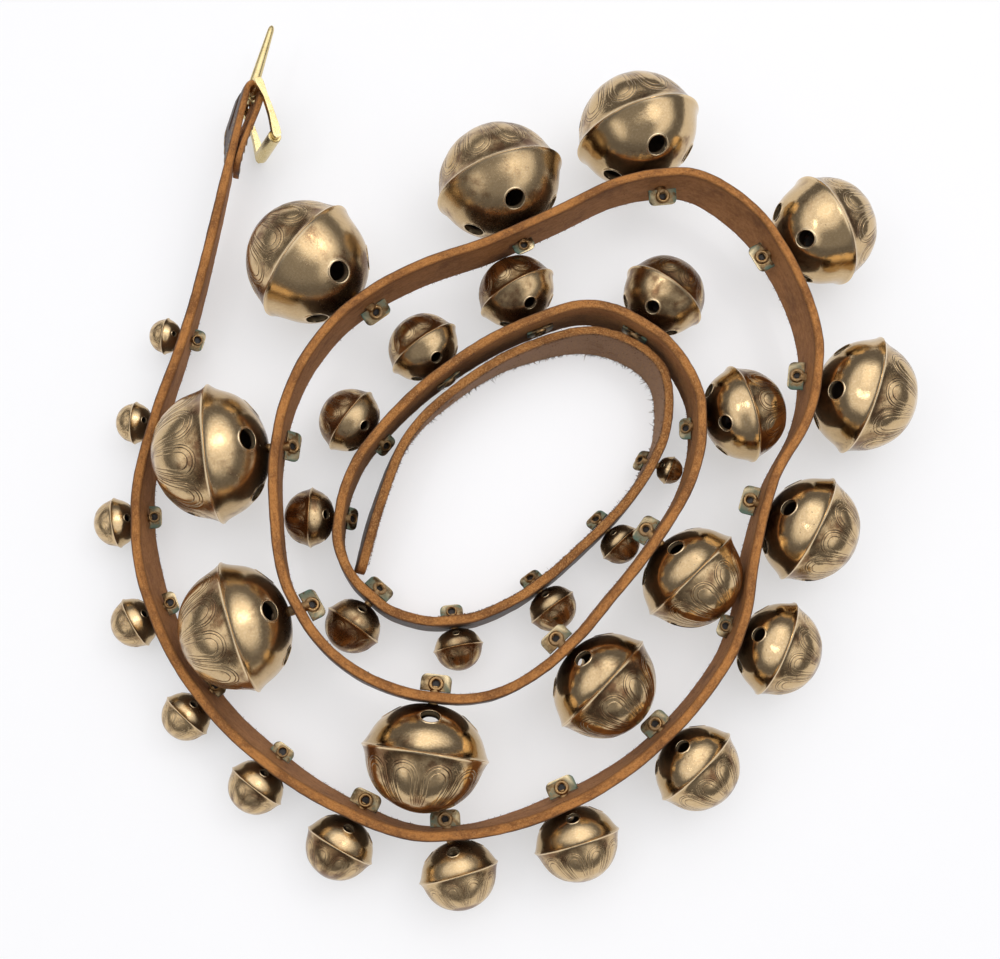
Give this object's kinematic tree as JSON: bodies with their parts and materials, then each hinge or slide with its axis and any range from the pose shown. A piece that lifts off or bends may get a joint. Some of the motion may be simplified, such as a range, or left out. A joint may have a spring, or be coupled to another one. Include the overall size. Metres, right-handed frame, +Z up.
{
  "type": "sleigh bell strap",
  "caption": "Leather harness strap wound in a coil on its edge, carrying graduated brass petal bells that each hold a loose iron pellet, with a brass roller buckle at one end.",
  "frame": {"origin": "middle of the object's box, on the floor it stands on", "axes": "+Z up from the floor, +Y towards the buckled end, +X to the right of it seen from above"},
  "size_m": [0.4746, 0.5254, 0.0777],
  "materials": {
    "harness_leather": "worn harness leather with pale orange-tan cut edges",
    "bell_brass": "aged cast brass with brown patina and rubbed highlights",
    "buckle_brass": "worn brass",
    "pellet_iron": "dark rough iron"
  },
  "bodies": {
    "strap": {"strap": "harness_leather"},
    "bell_01": {"bell_01": "bell_brass"},
    "bell_02": {"bell_02": "bell_brass"},
    "bell_03": {"bell_03": "bell_brass"},
    "bell_04": {"bell_04": "bell_brass"},
    "bell_05": {"bell_05": "bell_brass"},
    "bell_06": {"bell_06": "bell_brass"},
    "bell_07": {"bell_07": "bell_brass"},
    "pellet_07": {"pellet_07": "pellet_iron"},
    "bell_08": {"bell_08": "bell_brass"},
    "pellet_08": {"pellet_08": "pellet_iron"},
    "bell_09": {"bell_09": "bell_brass"},
    "pellet_09": {"pellet_09": "pellet_iron"},
    "bell_10": {"bell_10": "bell_brass"},
    "pellet_10": {"pellet_10": "pellet_iron"},
    "bell_11": {"bell_11": "bell_brass"},
    "pellet_11": {"pellet_11": "pellet_iron"},
    "bell_12": {"bell_12": "bell_brass"},
    "pellet_12": {"pellet_12": "pellet_iron"},
    "bell_13": {"bell_13": "bell_brass"},
    "pellet_13": {"pellet_13": "pellet_iron"},
    "bell_14": {"bell_14": "bell_brass"},
    "pellet_14": {"pellet_14": "pellet_iron"},
    "bell_15": {"bell_15": "bell_brass"},
    "pellet_15": {"pellet_15": "pellet_iron"},
    "bell_16": {"bell_16": "bell_brass"},
    "pellet_16": {"pellet_16": "pellet_iron"},
    "bell_17": {"bell_17": "bell_brass"},
    "pellet_17": {"pellet_17": "pellet_iron"},
    "bell_18": {"bell_18": "bell_brass"},
    "pellet_18": {"pellet_18": "pellet_iron"},
    "bell_19": {"bell_19": "bell_brass"},
    "pellet_19": {"pellet_19": "pellet_iron"},
    "bell_20": {"bell_20": "bell_brass"},
    "pellet_20": {"pellet_20": "pellet_iron"},
    "bell_21": {"bell_21": "bell_brass"},
    "pellet_21": {"pellet_21": "pellet_iron"},
    "bell_22": {"bell_22": "bell_brass"},
    "pellet_22": {"pellet_22": "pellet_iron"},
    "bell_23": {"bell_23": "bell_brass"},
    "pellet_23": {"pellet_23": "pellet_iron"},
    "bell_24": {"bell_24": "bell_brass"},
    "pellet_24": {"pellet_24": "pellet_iron"},
    "bell_25": {"bell_25": "bell_brass"},
    "pellet_25": {"pellet_25": "pellet_iron"},
    "bell_26": {"bell_26": "bell_brass"},
    "pellet_26": {"pellet_26": "pellet_iron"},
    "bell_27": {"bell_27": "bell_brass"},
    "pellet_27": {"pellet_27": "pellet_iron"},
    "bell_28": {"bell_28": "bell_brass"},
    "pellet_28": {"pellet_28": "pellet_iron"},
    "bell_29": {"bell_29": "bell_brass"},
    "pellet_29": {"pellet_29": "pellet_iron"},
    "bell_30": {"bell_30": "bell_brass"},
    "bell_31": {"bell_31": "bell_brass"},
    "bell_32": {"bell_32": "bell_brass"},
    "bell_33": {"bell_33": "bell_brass"},
    "buckle_frame": {"buckle_frame": "buckle_brass"},
    "buckle_roller": {"buckle_roller": "buckle_brass"},
    "buckle_tongue": {"buckle_tongue": "buckle_brass"}
  },
  "joints": [
    {"name": "bell_01_swivel", "type": "hinge", "parent": "strap", "child": "bell_01", "pos_m": [-0.19222, 0.05904, 0.0162], "axis": [-0.9629, 0.2229, 0.1521], "range_deg": [-20, 20]},
    {"name": "bell_02_swivel", "type": "hinge", "parent": "strap", "child": "bell_02", "pos_m": [-0.2054, 0.00623, 0.01606], "axis": [-0.9766, 0.2017, 0.0743], "range_deg": [-20, 20]},
    {"name": "bell_03_swivel", "type": "hinge", "parent": "strap", "child": "bell_03", "pos_m": [-0.2104, -0.05028, 0.01604], "axis": [-0.995, -0.0865, -0.0499], "range_deg": [-20, 20]},
    {"name": "bell_04_swivel", "type": "hinge", "parent": "strap", "child": "bell_04", "pos_m": [-0.19746, -0.10183, 0.01615], "axis": [-0.9124, -0.3877, -0.1316], "range_deg": [-20, 20]},
    {"name": "bell_05_swivel", "type": "hinge", "parent": "strap", "child": "bell_05", "pos_m": [-0.16857, -0.14929, 0.0163], "axis": [-0.7603, -0.6305, -0.156], "range_deg": [-20, 20]},
    {"name": "bell_06_swivel", "type": "hinge", "parent": "strap", "child": "bell_06", "pos_m": [-0.12929, -0.1858, 0.01732], "axis": [-0.5861, -0.7948, -0.1574], "range_deg": [-20, 20]},
    {"name": "bell_07_swivel", "type": "hinge", "parent": "strap", "child": "bell_07", "pos_m": [-0.08268, -0.21285, 0.0201], "axis": [-0.4081, -0.9083, -0.0919], "range_deg": [-20, 20]},
    {"name": "pellet_07_roll", "type": "hinge", "parent": "bell_07", "child": "pellet_07", "pos_m": [-0.09233, -0.22995, 0.0201], "axis": [-0.4916, -0.8708, 0], "continuous": true},
    {"name": "bell_08_swivel", "type": "hinge", "parent": "strap", "child": "bell_08", "pos_m": [-0.03349, -0.22369, 0.02211], "axis": [0.0587, -0.9976, -0.0356], "range_deg": [-20, 20]},
    {"name": "pellet_08_roll", "type": "hinge", "parent": "bell_08", "child": "pellet_08", "pos_m": [-0.02797, -0.24389, 0.02211], "axis": [0.2638, -0.9646, 0], "continuous": true},
    {"name": "bell_09_swivel", "type": "hinge", "parent": "strap", "child": "bell_09", "pos_m": [0.02986, -0.20673, 0.02426], "axis": [0.3963, -0.9099, -0.1227], "range_deg": [-20, 20]},
    {"name": "pellet_09_roll", "type": "hinge", "parent": "bell_09", "child": "pellet_09", "pos_m": [0.03599, -0.22762, 0.02426], "axis": [0.2812, -0.9596, 0], "continuous": true},
    {"name": "bell_10_swivel", "type": "hinge", "parent": "strap", "child": "bell_10", "pos_m": [0.08539, -0.17077, 0.02615], "axis": [0.6802, -0.7316, -0.0464], "range_deg": [-20, 20]},
    {"name": "pellet_10_roll", "type": "hinge", "parent": "bell_10", "child": "pellet_10", "pos_m": [0.10225, -0.18833, 0.02615], "axis": [0.6926, -0.7213, 0], "continuous": true},
    {"name": "bell_11_swivel", "type": "hinge", "parent": "strap", "child": "bell_11", "pos_m": [0.12709, -0.11389, 0.02832], "axis": [0.9368, -0.3496, -0.0151], "range_deg": [-20, 20]},
    {"name": "pellet_11_roll", "type": "hinge", "parent": "bell_11", "child": "pellet_11", "pos_m": [0.14951, -0.12364, 0.02832], "axis": [0.917, -0.3988, 0], "continuous": true},
    {"name": "bell_12_swivel", "type": "hinge", "parent": "strap", "child": "bell_12", "pos_m": [0.14489, -0.04289, 0.03253], "axis": [0.9487, -0.313, 0.0447], "range_deg": [-20, 20]},
    {"name": "pellet_12_roll", "type": "hinge", "parent": "bell_12", "child": "pellet_12", "pos_m": [0.1699, -0.0557, 0.03253], "axis": [0.89, -0.456, 0], "continuous": true},
    {"name": "bell_13_swivel", "type": "hinge", "parent": "strap", "child": "bell_13", "pos_m": [0.17602, 0.03289, 0.0354], "axis": [0.9895, -0.1416, -0.0296], "range_deg": [-20, 20]},
    {"name": "pellet_13_roll", "type": "hinge", "parent": "bell_13", "child": "pellet_13", "pos_m": [0.20563, 0.02374, 0.0354], "axis": [0.9555, -0.2951, 0], "continuous": true},
    {"name": "bell_14_swivel", "type": "hinge", "parent": "strap", "child": "bell_14", "pos_m": [0.15801, 0.11258, 0.03502], "axis": [0.8706, 0.4867, -0.0719], "range_deg": [-20, 20]},
    {"name": "pellet_14_roll", "type": "hinge", "parent": "bell_14", "child": "pellet_14", "pos_m": [0.18962, 0.1274, 0.03502], "axis": [0.9054, 0.4246, 0], "continuous": true},
    {"name": "bell_15_swivel", "type": "hinge", "parent": "strap", "child": "bell_15", "pos_m": [0.08937, 0.15393, 0.0389], "axis": [-0.1314, 0.9912, -0.0128], "range_deg": [-20, 20]},
    {"name": "pellet_15_roll", "type": "hinge", "parent": "bell_15", "child": "pellet_15", "pos_m": [0.07781, 0.18843, 0.0389], "axis": [-0.3178, 0.9481, 0], "continuous": true},
    {"name": "bell_16_swivel", "type": "hinge", "parent": "strap", "child": "bell_16", "pos_m": [0.00554, 0.11793, 0.03956], "axis": [-0.45, 0.893, 0.0123], "range_deg": [-20, 20]},
    {"name": "pellet_16_roll", "type": "hinge", "parent": "bell_16", "child": "pellet_16", "pos_m": [-0.00655, 0.15163, 0.03956], "axis": [-0.3378, 0.9412, 0], "continuous": true},
    {"name": "bell_17_swivel", "type": "hinge", "parent": "strap", "child": "bell_17", "pos_m": [-0.08514, 0.07429, 0.03875], "axis": [-0.6097, 0.7921, 0.0268], "range_deg": [-20, 20]},
    {"name": "pellet_17_roll", "type": "hinge", "parent": "bell_17", "child": "pellet_17", "pos_m": [-0.12009, 0.10006, 0.03875], "axis": [-0.8048, 0.5936, 0], "continuous": true},
    {"name": "bell_18_swivel", "type": "hinge", "parent": "strap", "child": "bell_18", "pos_m": [-0.13164, -0.01288, 0.03946], "axis": [-0.9939, 0.1025, 0.0416], "range_deg": [-20, 20]},
    {"name": "pellet_18_roll", "type": "hinge", "parent": "bell_18", "child": "pellet_18", "pos_m": [-0.16631, -0.01719, 0.03946], "axis": [-0.9923, -0.1235, 0], "continuous": true},
    {"name": "bell_19_swivel", "type": "hinge", "parent": "strap", "child": "bell_19", "pos_m": [-0.11746, -0.10372, 0.03718], "axis": [-0.8636, -0.5026, 0.0405], "range_deg": [-20, 20]},
    {"name": "pellet_19_roll", "type": "hinge", "parent": "bell_19", "child": "pellet_19", "pos_m": [-0.14865, -0.11393, 0.03718], "axis": [-0.9503, -0.3114, 0], "continuous": true},
    {"name": "bell_20_swivel", "type": "hinge", "parent": "strap", "child": "bell_20", "pos_m": [-0.0424, -0.15186, 0.0351], "axis": [-0.1104, -0.9938, -0.0122], "range_deg": [-20, 20]},
    {"name": "pellet_20_roll", "type": "hinge", "parent": "bell_20", "child": "pellet_20", "pos_m": [-0.04668, -0.18113, 0.0351], "axis": [-0.1447, -0.9895, 0], "continuous": true},
    {"name": "bell_21_swivel", "type": "hinge", "parent": "strap", "child": "bell_21", "pos_m": [0.03055, -0.1245, 0.03277], "axis": [0.6808, -0.7324, -0.0112], "range_deg": [-20, 20]},
    {"name": "pellet_21_roll", "type": "hinge", "parent": "bell_21", "child": "pellet_21", "pos_m": [0.0504, -0.14373, 0.03277], "axis": [0.7184, -0.6956, 0], "continuous": true},
    {"name": "bell_22_swivel", "type": "hinge", "parent": "strap", "child": "bell_22", "pos_m": [0.08263, -0.06269, 0.03196], "axis": [0.8208, -0.5712, -0.0045], "range_deg": [-20, 20]},
    {"name": "pellet_22_roll", "type": "hinge", "parent": "bell_22", "child": "pellet_22", "pos_m": [0.10184, -0.08317, 0.03196], "axis": [0.6842, -0.7293, 0], "continuous": true},
    {"name": "bell_23_swivel", "type": "hinge", "parent": "strap", "child": "bell_23", "pos_m": [0.10945, 0.00581, 0.02917], "axis": [0.9995, -0.0306, 0.0017], "range_deg": [-20, 20]},
    {"name": "pellet_23_roll", "type": "hinge", "parent": "bell_23", "child": "pellet_23", "pos_m": [0.1357, 0.01296, 0.02917], "axis": [0.9648, 0.2629, 0], "continuous": true},
    {"name": "bell_24_swivel", "type": "hinge", "parent": "strap", "child": "bell_24", "pos_m": [0.07665, 0.0651, 0.0267], "axis": [0.5353, 0.8446, 0.0076], "range_deg": [-20, 20]},
    {"name": "pellet_24_roll", "type": "hinge", "parent": "bell_24", "child": "pellet_24", "pos_m": [0.09276, 0.08697, 0.0267], "axis": [0.5931, 0.8051, 0], "continuous": true},
    {"name": "bell_25_swivel", "type": "hinge", "parent": "strap", "child": "bell_25", "pos_m": [0.01588, 0.06764, 0.0251], "axis": [-0.3844, 0.9231, 0.013], "range_deg": [-20, 20]},
    {"name": "pellet_25_roll", "type": "hinge", "parent": "bell_25", "child": "pellet_25", "pos_m": [0.00453, 0.08763, 0.0251], "axis": [-0.4938, 0.8696, 0], "continuous": true},
    {"name": "bell_26_swivel", "type": "hinge", "parent": "strap", "child": "bell_26", "pos_m": [-0.03848, 0.03617, 0.02307], "axis": [-0.6102, 0.7919, 0.0232], "range_deg": [-20, 20]},
    {"name": "pellet_26_roll", "type": "hinge", "parent": "bell_26", "child": "pellet_26", "pos_m": [-0.05067, 0.0526, 0.02307], "axis": [-0.5958, 0.8032, 0], "continuous": true},
    {"name": "bell_27_swivel", "type": "hinge", "parent": "strap", "child": "bell_27", "pos_m": [-0.07763, -0.00239, 0.02059], "axis": [-0.7853, 0.6173, 0.0472], "range_deg": [-20, 20]},
    {"name": "pellet_27_roll", "type": "hinge", "parent": "bell_27", "child": "pellet_27", "pos_m": [-0.09292, 0.00844, 0.02059], "axis": [-0.8161, 0.578, 0], "continuous": true},
    {"name": "bell_28_swivel", "type": "hinge", "parent": "strap", "child": "bell_28", "pos_m": [-0.09743, -0.04924, 0.01793], "axis": [-0.9922, 0.1215, 0.0276], "range_deg": [-20, 20]},
    {"name": "pellet_28_roll", "type": "hinge", "parent": "bell_28", "child": "pellet_28", "pos_m": [-0.11409, -0.04894, 0.01793], "axis": [-0.9998, 0.018, 0], "continuous": true},
    {"name": "bell_29_swivel", "type": "hinge", "parent": "strap", "child": "bell_29", "pos_m": [-0.07843, -0.09563, 0.01727], "axis": [-0.6486, -0.7611, 0.0047], "range_deg": [-20, 20]},
    {"name": "pellet_29_roll", "type": "hinge", "parent": "bell_29", "child": "pellet_29", "pos_m": [-0.08877, -0.1107, 0.01727], "axis": [-0.5656, -0.8247, 0], "continuous": true},
    {"name": "bell_30_swivel", "type": "hinge", "parent": "strap", "child": "bell_30", "pos_m": [-0.03183, -0.10893, 0.01616], "axis": [0.1083, -0.9941, 0], "range_deg": [-20, 20]},
    {"name": "bell_31_swivel", "type": "hinge", "parent": "strap", "child": "bell_31", "pos_m": [0.01594, -0.08816, 0.01602], "axis": [0.5983, -0.8013, 0], "range_deg": [-20, 20]},
    {"name": "bell_32_swivel", "type": "hinge", "parent": "strap", "child": "bell_32", "pos_m": [0.0553, -0.05279, 0.01602], "axis": [0.7081, -0.7061, 0], "range_deg": [-20, 20]},
    {"name": "bell_33_swivel", "type": "hinge", "parent": "strap", "child": "bell_33", "pos_m": [0.08399, -0.0141, 0.01602], "axis": [0.8929, -0.4502, -0.0081], "range_deg": [-20, 20]},
    {"name": "buckle_frame_hinge", "type": "hinge", "parent": "strap", "child": "buckle_frame", "pos_m": [-0.15973, 0.21304, 0.02822], "axis": [0.3835, -0.0746, 0.9205], "range_deg": [-10, 120]},
    {"name": "buckle_tongue_hinge", "type": "hinge", "parent": "buckle_frame", "child": "buckle_tongue", "pos_m": [-0.15973, 0.21304, 0.02822], "axis": [0.3835, -0.0746, 0.9205], "range_deg": [-131, 6]},
    {"name": "buckle_roller_spin", "type": "hinge", "parent": "buckle_frame", "child": "buckle_roller", "pos_m": [-0.14877, 0.18271, 0.02119], "axis": [0.3835, -0.0746, 0.9205], "continuous": true}
  ]
}
